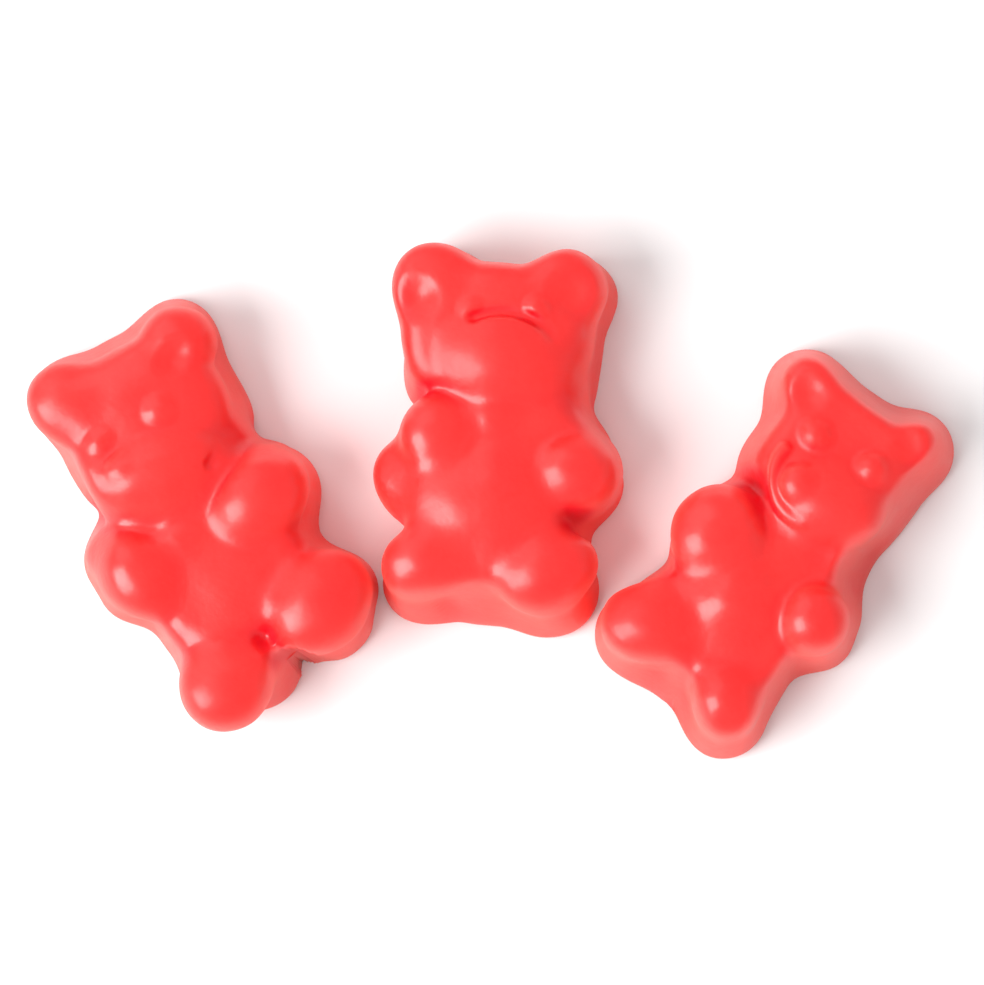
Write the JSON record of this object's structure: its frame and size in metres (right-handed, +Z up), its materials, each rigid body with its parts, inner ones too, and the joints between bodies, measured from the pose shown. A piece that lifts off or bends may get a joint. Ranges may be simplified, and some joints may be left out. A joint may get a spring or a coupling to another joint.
{
  "type": "gummy bears",
  "caption": "Short row of coral-red jelly sweets cast as little bears, lying on their flat backs and fanned out with the feet nearly touching.",
  "frame": {"origin": "centre of the row's footprint, on the surface it lies on", "axes": "+X along the row towards the right bear, +Y towards the ears of the middle bear, +Z up out of the flat backs"},
  "size_m": [0.0516, 0.0286, 0.007],
  "materials": {
    "jelly": "translucent milky jelly with a soft satin gloss"
  },
  "bodies": {
    "root": {"bear_left": "jelly", "bear_middle": "jelly", "bear_right": "jelly"}
  },
  "joints": []
}
